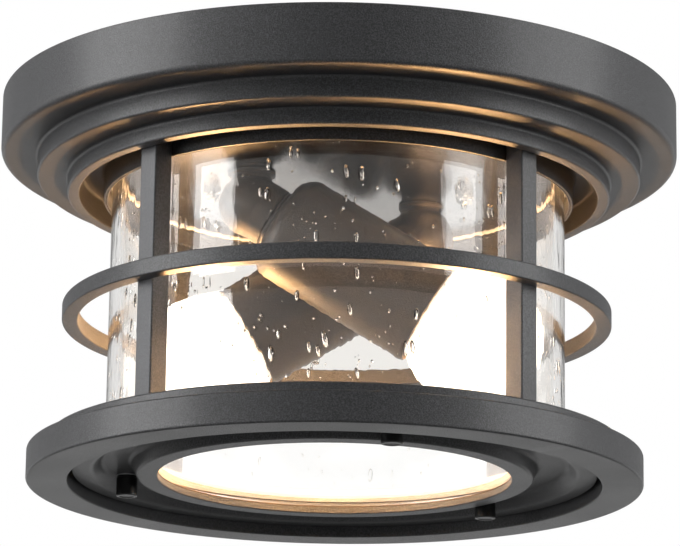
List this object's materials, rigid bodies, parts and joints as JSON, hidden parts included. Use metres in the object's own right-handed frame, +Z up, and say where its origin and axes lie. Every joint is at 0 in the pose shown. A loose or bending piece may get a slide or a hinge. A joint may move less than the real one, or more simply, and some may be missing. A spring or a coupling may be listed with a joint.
{
  "type": "porch ceiling lantern",
  "caption": "Flush porch lantern: stepped round canopy, seeded glass cylinder in a cage of posts and rings, angled lamp cups over a polished plate, and a windowed door held by thumb screws.",
  "frame": {"origin": "middle of the ceiling plane, at the middle of the slot pair in the crossbar", "axes": "+Z up into the ceiling, +X to the right of the picture, +Y away from the camera"},
  "size_m": [0.278, 0.278, 0.16],
  "materials": {
    "powder_coat": "fine sand-textured graphite powder coat over cast aluminium",
    "cup_coat": "dark satin coat",
    "seeded_glass": "clear, with elongated seed bubbles",
    "window_pane": "clear, smooth",
    "lamp_opal": "opal white, lit",
    "polished_plate": "polished",
    "zinc_steel": "zinc plated",
    "black_screw": "black",
    "nickel": "nickel plated",
    "brass": "plain",
    "porcelain": "glazed white",
    "nylon": "natural",
    "silicone": "grey silicone",
    "foam": "closed-cell foam",
    "lead_cover": "white silicone cover",
    "earth_cover": "green cover"
  },
  "bodies": {
    "fixture": {"canopy": "powder_coat", "ceiling_gasket": "foam", "crossbar": "zinc_steel", "mounting_studs": "zinc_steel", "lock_nuts": "zinc_steel", "cap_nuts": "nickel", "earth_screw": "brass", "reflector_plate": "polished_plate", "glass_top_gasket": "silicone", "glass_cylinder": "seeded_glass", "glass_bottom_gasket": "silicone", "post_1": "powder_coat", "post_2": "powder_coat", "post_3": "powder_coat", "post_4": "powder_coat", "post_screws_top": "zinc_steel", "post_screws_bottom": "black_screw", "middle_ring": "powder_coat", "base_ring": "powder_coat", "bottom_ring": "powder_coat", "band_screws": "black_screw", "terminal_block": "nylon", "earth_lead": "earth_cover", "elbow_right": "cup_coat", "nipple_right": "zinc_steel", "nipple_nut_right": "zinc_steel", "cup_right": "cup_coat", "lampholder_right": "porcelain", "screw_shell_right": "brass", "contact_tongue_right": "brass", "lead_right": "lead_cover", "elbow_left": "cup_coat", "nipple_left": "zinc_steel", "nipple_nut_left": "zinc_steel", "cup_left": "cup_coat", "lampholder_left": "porcelain", "screw_shell_left": "brass", "contact_tongue_left": "brass", "lead_left": "lead_cover"},
    "door": {"door_frame": "powder_coat", "door_gasket": "silicone", "window_gasket": "silicone", "window_glass": "window_pane", "window_clip": "zinc_steel"},
    "lamp_right": {"lamp_glass_right": "lamp_opal", "lamp_base_right": "nickel", "lamp_contact_right": "brass"},
    "lamp_left": {"lamp_glass_left": "lamp_opal", "lamp_base_left": "nickel", "lamp_contact_left": "brass"},
    "washer_1": {"thumb_washer_1": "zinc_steel"},
    "screw_1": {"thumb_screw_1": "black_screw"},
    "washer_2": {"thumb_washer_2": "zinc_steel"},
    "screw_2": {"thumb_screw_2": "black_screw"},
    "washer_3": {"thumb_washer_3": "zinc_steel"},
    "screw_3": {"thumb_screw_3": "black_screw"}
  },
  "joints": [
    {"name": "door_removal", "type": "slide", "parent": "fixture", "child": "door", "axis": [0, 0, -1], "range_m": [0, 0.06]},
    {"name": "washer_1_travel", "type": "slide", "parent": "door", "child": "washer_1", "axis": [0, 0, -1], "range_m": [0, 0.0042]},
    {"name": "thumb_screw_1_turn", "type": "hinge", "parent": "washer_1", "child": "screw_1", "pos_m": [0.06345, 0.0617, -0.1515], "axis": [0, 0, -1], "range_deg": [0, 2160]},
    {"name": "washer_2_travel", "type": "slide", "parent": "door", "child": "washer_2", "axis": [0, 0, -1], "range_m": [0, 0.0042]},
    {"name": "thumb_screw_2_turn", "type": "hinge", "parent": "washer_2", "child": "screw_2", "pos_m": [-0.08516, 0.0241, -0.1515], "axis": [0, 0, -1], "range_deg": [0, 2160]},
    {"name": "washer_3_travel", "type": "slide", "parent": "door", "child": "washer_3", "axis": [0, 0, -1], "range_m": [0, 0.0042]},
    {"name": "thumb_screw_3_turn", "type": "hinge", "parent": "washer_3", "child": "screw_3", "pos_m": [0.02171, -0.0858, -0.1515], "axis": [0, 0, -1], "range_deg": [0, 2160]},
    {"name": "lamp_right_turn", "type": "hinge", "parent": "fixture", "child": "lamp_right", "pos_m": [0.03757, -0.0235, -0.093], "axis": [0.8545, 0, -0.5195], "range_deg": [0, 1980]},
    {"name": "lamp_left_turn", "type": "hinge", "parent": "fixture", "child": "lamp_left", "pos_m": [-0.03757, 0.0235, -0.093], "axis": [-0.8545, 0, -0.5195], "range_deg": [0, 1980]}
  ],
  "couplings": [
    {"joint": "thumb_screw_1_turn", "follows": "washer_1_travel", "rad_per_m": 8975.9},
    {"joint": "thumb_screw_2_turn", "follows": "washer_2_travel", "rad_per_m": 8975.9},
    {"joint": "thumb_screw_3_turn", "follows": "washer_3_travel", "rad_per_m": 8975.9}
  ]
}
